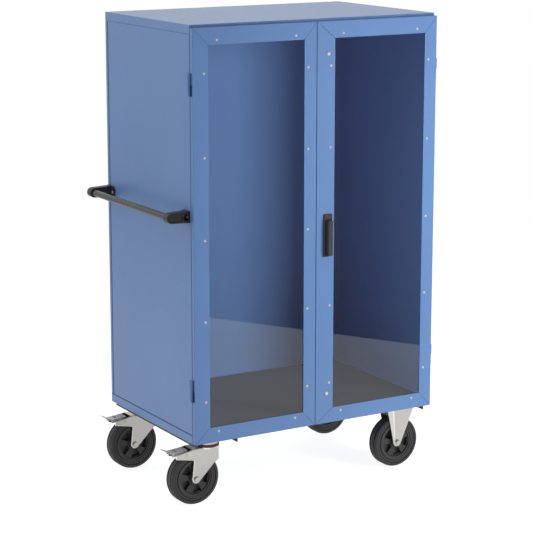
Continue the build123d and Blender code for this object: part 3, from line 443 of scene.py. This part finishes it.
def grey_rim():
    """Moulded dark grey plastic of the rims, paler round the lip, with a line of painted shade at the step
    inside the lip.
    """
    shader = Shader("grey_rim", srgb(60, 60, 61), roughness=0.5)
    spoke = srgb(62, 62, 63)
    lip = srgb(80, 80, 81)
    step_shade = srgb(30, 30, 30)
    # A painted shade line at the step between the spokes and the lip
    stops = ((0.0, spoke), (0.86, spoke), (0.88, step_shade), (0.9, step_shade), (0.92, lip), (1.0, lip))
    shader.rings(stops, shader.noise(waves=70.0, detail=4.0), dark=srgb(238, 238, 238))
    shader.gloss(shader.noise(waves=220.0, detail=3.0), low=0.42, high=0.58)
    shader.bump(shader.noise(waves=1200.0, detail=4.0), strength=0.2, depth=0.0003)
    return shader.material


def clear_sheet():
    """Clear polished sheet; lamp light passes straight through it."""
    shader = Shader("clear_sheet", srgb(252, 254, 254), roughness=0.0)
    shader.surface.inputs["Transmission Weight"].default_value = 1.0
    shader.surface.inputs["IOR"].default_value = 1.49
    shader.gloss(shader.noise(waves=14.0, detail=4.0), low=0.0, high=0.015)
    tree = shader.material.node_tree
    path = shader.nodes.new("ShaderNodeLightPath")
    lamp_light = reckoned(tree, "MAXIMUM", path.outputs["Is Shadow Ray"], path.outputs["Is Diffuse Ray"])
    through = shader.nodes.new("ShaderNodeBsdfTransparent")
    surface = mixed(tree, lamp_light, shader.surface.outputs["BSDF"], through.outputs["BSDF"])
    shader.links.new(surface, shader.nodes["Material Output"].inputs["Surface"])
    return shader.material


finishes = {
    "blue_paint": blue_paint(),
    "grey_paint": grey_paint(),
    "grey_board": grey_board(),
    "black_paint": black_paint(),
    "black_plastic": black_plastic(),
    "lock_plastic": lock_plastic(),
    "painted_joint_shade": painted_joint_shade(),
    "zinc_steel": zinc_plate(
        "zinc_steel", bend_side=0.95, highlight_start=0.968, highlight_end=0.976, bend_flat=0.996
    ),
    "swivel_zinc": zinc_plate(
        "swivel_zinc", bend_side=0.5, highlight_start=0.74, highlight_end=0.94, bend_flat=0.992
    ),
    "bright_steel": bright_steel(),
    "dull_steel": dull_steel(),
    "pedal_steel": pedal_steel(),
    "red_seal": red_seal(),
    "black_tyre": black_tyre(),
    "grey_rim": grey_rim(),
    "clear_sheet": clear_sheet(),
}


# Nodes that are paler or duller than their slot, or whose bends carry a wider painted highlight
own_finishes = {
    "left_pane_rivets": "bright_steel",
    "right_pane_rivets": "bright_steel",
    "rod_guide_bolts": "bright_steel",
    "push_bar_screws": "dull_steel",
    "lock_base": "lock_plastic",
    "lock_handle": "lock_plastic",
    "swivel_fork_front": "swivel_zinc",
    "swivel_fork_rear": "swivel_zinc",
    "brake_pedal_front": "pedal_steel",
    "brake_pedal_rear": "pedal_steel",
}


def finish_nodes():
    """Gives each CAD node its own finish, or that of its slot in the record."""
    for subpart in frame["record"]["subparts"]:
        node = subpart["node"]
        mesh = frame["nodes"][node].data
        mesh.materials.clear()
        mesh.materials.append(finishes[own_finishes.get(node, subpart["material_slot"])])


# Pieces of the scene's own


def piece_from(bm, name, finish, body="cabinet"):
    """Piece of a body made from a mesh under construction."""
    bmesh.ops.recalc_face_normals(bm, faces=bm.faces)
    mesh = bpy.data.meshes.new(name)
    bm.to_mesh(mesh)
    bm.free()
    mesh.materials.append(finishes[finish])
    piece = bpy.data.objects.new(name, mesh)
    bpy.context.scene.collection.objects.link(piece)
    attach(piece, body)
    return piece


def shade_strip(bm, start, end, across, rise):
    """Rounded dark strip along the joint of two panels, painted shade in its groove; across is half its
    width and rise its middle's height.
    """
    sunk = -rise.normalized() * shade_strip_edge_depth
    rows = []
    for place in (start, end):
        row = []
        for column in range(shade_strip_columns + 1):
            share = 2 * column / shade_strip_columns - 1
            row.append(bm.verts.new(Vector(place) + sunk + across * share + rise * (1 - share**2)))
        rows.append(row)
    for column in range(shade_strip_columns):
        corners = (rows[0][column], rows[0][column + 1], rows[1][column + 1], rows[1][column])
        bm.faces.new(corners).smooth = True


def panel_joint_shades():
    """Dark strips of painted shade in the joints between the tray, the sides and the back."""
    low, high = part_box("lid")
    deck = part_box("bottom_tray")[1][2]
    top = low[2]
    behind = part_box("side_panel_left")[1][1]
    front = low[1] + shade_strip_end_gap
    back = high[1] - shade_strip_end_gap
    across_deck = Vector((0.0, 0.0, deck_shade_half_width))
    across_upright = Vector((0.0, upright_shade_half_width, 0.0))
    bm = bmesh.new()
    for face, side in ((low[0], -1), (high[0], 1)):
        rise = Vector((side * shade_strip_height, 0.0, 0.0))
        shade_strip(bm, (face, front, deck), (face, back, deck), across_deck, rise)
        shade_strip(bm, (face, behind, deck), (face, behind, top - shade_strip_end_gap), across_upright, rise)
    across_back = Vector((0.0, 0.0, back_shade_half_width))
    start = (low[0] + shade_strip_end_gap, high[1] - shade_strip_edge_depth, deck)
    end = (high[0] - shade_strip_end_gap, high[1] - shade_strip_edge_depth, deck)
    shade_strip(bm, start, end, across_back, Vector((0.0, -back_shade_depth, 0.0)))
    piece_from(bm, "panel_joint_shades", "painted_joint_shade")


class LegOutline:
    """Side view of a leg: straight edges from a wide top to a round end at the axle."""

    def __init__(self, left, right, top, axle):
        self.axle = Vector(axle)
        self.top = top
        self.corners = (Vector((left, top)), Vector((right, top)))
        self.tangents = [self.tangent(corner, turn) for corner, turn in zip(self.corners, (1, -1))]

    def tangent(self, corner, turn):
        """Where the edge from a top corner meets the round end."""
        run = corner - self.axle
        angle = math.atan2(run.y, run.x) + turn * math.acos(leg_end_radius / run.length)
        return self.axle + leg_end_radius * Vector((math.cos(angle), math.sin(angle)))

    def edge(self, z, side):
        """The left (0) or right (1) edge at a level."""
        corner, tangent = self.corners[side], self.tangents[side]
        if z > tangent.y:
            share = (self.top - z) / (self.top - tangent.y)
            return corner.x + (tangent.x - corner.x) * share
        half = math.sqrt(max(0.0, leg_end_radius**2 - (z - self.axle.y) ** 2))
        return self.axle.x + (half if side else -half)

    def levels(self):
        """Levels of the rows, from the top down and round the end."""
        drop = (self.top - self.axle.y) / leg_rows
        straight = [self.top - drop * row for row in range(leg_rows)]
        turns = [math.radians(leg_end_turn * row / leg_end_rows) for row in range(leg_end_rows + 1)]
        return straight + [self.axle.y - leg_end_radius * math.sin(turn) for turn in turns]

    def rise(self, x, z):
        """How far the pressed face stands out from the lip at a point."""
        up = max(0.0, (z - self.axle.y) / (self.top - self.axle.y))
        left_bend = leg_left_bend_end + (leg_left_bend_top - leg_left_bend_end) * up
        sloped = (x - self.edge(z, 0)) / left_bend
        if sloped > leg_bend_start:
            span = leg_bend_end - leg_bend_start
            turn = min(1.0, (sloped - leg_bend_start) / span)
            sloped = leg_bend_start + span * (turn - turn**2 / 2)
        inward = (self.edge(z, 1) - x) / leg_right_bend
        if z < self.axle.y:
            reach = (Vector((x, z)) - self.axle).length
            inward = min(inward, (leg_end_radius - reach) / leg_right_bend)
        inward = min(1.0, max(0.0, inward))
        return leg_slope * left_bend * sloped * math.sqrt(1 - (1 - inward) ** 2)


def pressed_leg(bm, outline, wheel_y, side):
    """One leg: a pressed face with a wide bend along its left edge, and a flat back."""
    front, back = [], []
    for z in outline.levels():
        left, right = outline.edge(z, 0), outline.edge(z, 1)
        front.append([])
        back.append([])
        for column in range(leg_columns + 1):
            share = (1 - math.cos(math.pi * column / leg_columns)) / 2
            x = left + (right - left) * share
            out = leg_inner + leg_lip + outline.rise(x, z)
            front[-1].append(bm.verts.new((x, wheel_y + side * out, z)))
            back[-1].append(bm.verts.new((x, wheel_y + side * leg_inner, z)))
    for row in range(len(front) - 1):
        for grid, smooth in ((front, True), (back, False)):
            for column in range(leg_columns):
                upper, lower = grid[row], grid[row + 1]
                corners = (upper[column], upper[column + 1], lower[column + 1], lower[column])
                bm.faces.new(corners).smooth = smooth
        for column in (0, leg_columns):
            corners = (front[row][column], front[row + 1][column], back[row + 1][column], back[row][column])
            bm.faces.new(corners)
    for row in (0, -1):
        bm.faces.new(front[row] + back[row][::-1])


def rounded_plate(bm, low, high, radius, upright=False):
    """Plate with round corners, flat or upright across the depth; returns its two faces."""
    rise, through = (2, 1) if upright else (1, 2)
    outline = []
    for corner, (x_side, rise_side) in enumerate(((1, 1), (-1, 1), (-1, -1), (1, -1))):
        x = (high[0] if x_side > 0 else low[0]) - x_side * radius
        up = (high[rise] if rise_side > 0 else low[rise]) - rise_side * radius
        for step in range(plate_corner_steps + 1):
            angle = math.radians(90 * (corner + step / plate_corner_steps))
            outline.append((x + radius * math.cos(angle), up + radius * math.sin(angle)))
    rings = []
    for level in (low[through], high[through]):
        places = [(x, level, up) if upright else (x, up, level) for x, up in outline]
        rings.append([bm.verts.new(place) for place in places])
    faces = [bm.faces.new(ring) for ring in rings]
    for i in range(len(outline)):
        bm.faces.new((rings[0][i - 1], rings[0][i], rings[1][i], rings[1][i - 1]))
    return faces


def clear_panes():
    """Panes with polished edges, just clear of the frames that they are riveted to."""
    for side in ("left", "right"):
        low, high = (Vector(corner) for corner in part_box(f"{side}_pane"))
        low.y += pane_gap
        bm = bmesh.new()
        faces = rounded_plate(bm, low, high, pane_corner, upright=True)
        rims = [edge for face in faces for edge in face.edges]
        bmesh.ops.bevel(
            bm, geom=rims, offset=pane_edge, segments=pane_edge_steps, affect="EDGES", profile=round_profile
        )
        piece = piece_from(bm, f"{side}_clear_pane", "clear_sheet", f"{side}_door")
        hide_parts(f"{side}_pane")


def pressed_fixed_forks():
    """The fixed forks with legs pressed from sheet, bent over along their left edges."""
    low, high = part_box("fixed_forks")
    under = high[2] - fork_plate_thickness
    bm = bmesh.new()
    wheels = [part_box(f"tyre_{end}_right") for end in ("front", "rear")]
    centres = [[(near + far) / 2 for near, far in zip(*wheel)] for wheel in wheels]
    plate_reach = centres[0][1] - low[1]
    for x, y, z in centres:
        outline = LegOutline(low[0], high[0], under, (x, z))
        for side in (-1, 1):
            pressed_leg(bm, outline, y, side)
        corners = (low[0], y - plate_reach, under), (high[0], y + plate_reach, high[2])
        rounded_plate(bm, *corners, fork_plate_corner)
    piece = piece_from(bm, "pressed_fixed_forks", "zinc_steel")
    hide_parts("fixed_forks")


# Floor, surroundings, lamps and camera


def seen_plainly(tree):
    """One for what the camera sees, straight or through a pane, and zero elsewhere."""
    path = tree.nodes.new("ShaderNodeLightPath")
    limit = tree.nodes.new("ShaderNodeValue").outputs["Value"]
    limit.default_value = mirrored_limit
    unmirrored = reckoned(tree, "LESS_THAN", path.outputs["Glossy Depth"], limit)
    through = reckoned(tree, "MULTIPLY", path.outputs["Is Transmission Ray"], unmirrored)
    return reckoned(tree, "MAXIMUM", path.outputs["Is Camera Ray"], through)


def emission(tree, strength):
    """Plain white glow."""
    glow = tree.nodes.new("ShaderNodeEmission")
    glow.inputs["Strength"].default_value = strength
    return glow.outputs["Emission"]


def floor_material():
    """Pale floor that keeps the trolley's shadow and turns plain white further out."""
    material = bpy.data.materials.new("floor")
    material.use_nodes = True
    tree = material.node_tree
    nodes, links = tree.nodes, tree.links
    nodes.remove(nodes["Principled BSDF"])
    matt = nodes.new("ShaderNodeBsdfDiffuse")
    matt.inputs["Color"].default_value = (*floor_colour, 1.0)
    near = nodes.new("ShaderNodeAddShader")
    links.new(matt.outputs["BSDF"], near.inputs[0])
    links.new(emission(tree, floor_glow), near.inputs[1])
    place = nodes.new("ShaderNodeNewGeometry")
    distance = nodes.new("ShaderNodeVectorMath")
    distance.operation = "LENGTH"
    links.new(place.outputs["Position"], distance.inputs[0])
    out_of_shade = faded(tree, distance.outputs["Value"], floor_shade)
    far_out = faded(tree, distance.outputs["Value"], floor_fade)
    shown = mixed(tree, far_out, near.outputs["Shader"], emission(tree, floor_far_glow))
    # Painted shadow: seen in mirrors, the floor is darker under the trolley
    close = mixed(tree, out_of_shade, emission(tree, floor_gloss_painted_shadow), emission(tree, floor_gloss_near))
    mirrored = mixed(tree, far_out, close, emission(tree, floor_gloss_far))
    path = nodes.new("ShaderNodeLightPath")
    unseen = mixed(tree, path.outputs["Is Diffuse Ray"], mirrored, emission(tree, floor_bounce))
    surface = mixed(tree, seen_plainly(tree), unseen, shown)
    links.new(surface, nodes["Material Output"].inputs["Surface"])
    return material


def floor():
    """Flat sheet turned with the camera, its right edge near the trolley."""
    corners = [
        (-floor_reach, -floor_reach, 0.0),
        (floor_right, -floor_reach, 0.0),
        (floor_right, floor_reach, 0.0),
        (-floor_reach, floor_reach, 0.0),
    ]
    turn = Matrix.Rotation(math.radians(-camera_yaw), 3, "Z")
    mesh = bpy.data.meshes.new("floor")
    mesh.from_pydata([turn @ Vector(corner) for corner in corners], [], [(0, 1, 2, 3)])
    mesh.materials.append(floor_material())
    sheet = bpy.data.objects.new("floor", mesh)
    bpy.context.scene.collection.objects.link(sheet)


def surroundings():
    """White to the eye; a bright backdrop and a dim room light the trolley and show in its gloss."""
    world = bpy.data.worlds.new("surroundings")
    bpy.context.scene.world = world
    world.use_nodes = True
    tree = world.node_tree
    nodes, links = tree.nodes, tree.links
    place = nodes.new("ShaderNodeTexCoord")
    facing = nodes.new("ShaderNodeVectorMath")
    facing.operation = "DOT_PRODUCT"
    facing.inputs[1].default_value = Vector(backdrop_toward).normalized()
    links.new(place.outputs["Generated"], facing.inputs[0])
    toward_backdrop = faded(tree, facing.outputs["Value"], backdrop_spread)
    lit = []
    for room, backdrop in ((room_light, backdrop_light), (room_gloss, backdrop_gloss)):
        lights = []
        for colour, strength in ((room_colour, room), (backdrop_colour, backdrop)):
            light = nodes.new("ShaderNodeBackground")
            light.inputs["Color"].default_value = (*colour, 1.0)
            light.inputs["Strength"].default_value = strength
            lights.append(light.outputs["Background"])
        lit.append(mixed(tree, toward_backdrop, *lights))
    path = nodes.new("ShaderNodeLightPath")
    unseen = mixed(tree, path.outputs["Is Glossy Ray"], *lit)
    plain = nodes["Background"]
    plain.inputs["Color"].default_value = white
    surface = mixed(tree, seen_plainly(tree), unseen, plain.outputs["Background"])
    links.new(surface, nodes["World Output"].inputs["Surface"])


def add_lamp(name, place, aim, width, height, power):
    """Soft rectangular lamp aimed at a point."""
    lamp = bpy.data.lights.new(name, "AREA")
    lamp.shape = "RECTANGLE"
    lamp.size = width
    lamp.size_y = height
    lamp.energy = power
    holder = bpy.data.objects.new(name, lamp)
    holder.location = place
    holder.rotation_euler = (Vector(aim) - Vector(place)).to_track_quat("-Z", "Y").to_euler()
    holder.visible_camera = False
    holder.visible_glossy = False
    holder.visible_transmission = False
    bpy.context.scene.collection.objects.link(holder)


def camera():
    """View from the front left and above, without shift."""
    lens = bpy.data.cameras.new("camera")
    lens.lens = camera_lens
    lens.sensor_width = camera_sensor
    holder = bpy.data.objects.new("camera", lens)
    holder.location = camera_place
    holder.rotation_euler = (math.radians(90 - camera_pitch), 0.0, math.radians(-camera_yaw))
    bpy.context.scene.collection.objects.link(holder)
    bpy.context.scene.camera = holder


finish_nodes()
panel_joint_shades()
pressed_fixed_forks()
clear_panes()
floor()
surroundings()
for lamp_name, settings in lamps.items():
    add_lamp(lamp_name, **settings)
camera()
bpy.context.scene.view_settings.view_transform = "Standard"
